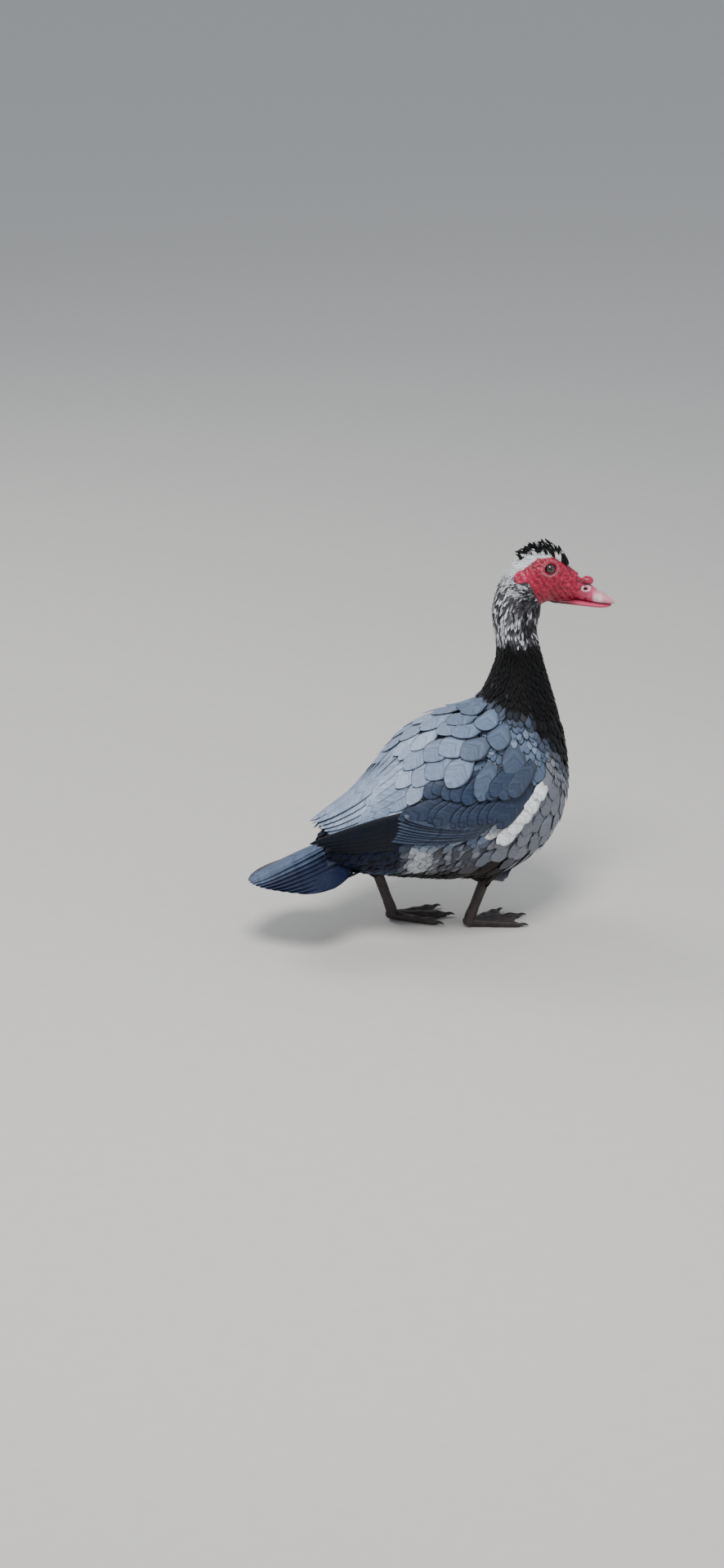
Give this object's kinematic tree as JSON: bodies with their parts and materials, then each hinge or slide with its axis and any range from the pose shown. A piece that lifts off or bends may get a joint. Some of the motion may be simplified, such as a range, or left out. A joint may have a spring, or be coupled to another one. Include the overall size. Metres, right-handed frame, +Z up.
{
  "type": "muscovy duck",
  "caption": "Life-size still model of a standing Muscovy drake in mid stride, with raised crest, red caruncled face, folded wings, tail fan and webbed feet.",
  "frame": {"origin": "on the ground under the middle of the whole bird", "axes": "+X the way the body faces, +Y the bird's left, +Z up"},
  "size_m": [0.507, 0.2332, 0.531],
  "materials": {
    "body_feathers": "soft slate-grey feather, matt",
    "wing_feathers": "slate-blue feather with dark edges, satin",
    "tail_feathers": "navy and slate feather, satin",
    "neck_feathers": "black feather with a faint sheen",
    "head_feathers": "white feather over bare red skin on the face",
    "bill": "waxy pink horn",
    "eye": "wet dark brown",
    "leg_skin": "dark scaled skin"
  },
  "bodies": {
    "root": {"torso": "body_feathers", "neck": "neck_feathers", "head": "head_feathers", "bill_upper": "bill", "bill_lower": "bill", "tail": "tail_feathers", "eye_left": "eye", "eye_right": "eye", "wing_left": "wing_feathers", "wing_right": "wing_feathers", "thigh_left": "neck_feathers", "thigh_right": "neck_feathers", "shank_left": "leg_skin", "shank_right": "leg_skin", "foot_left": "leg_skin", "foot_right": "leg_skin"}
  },
  "joints": []
}
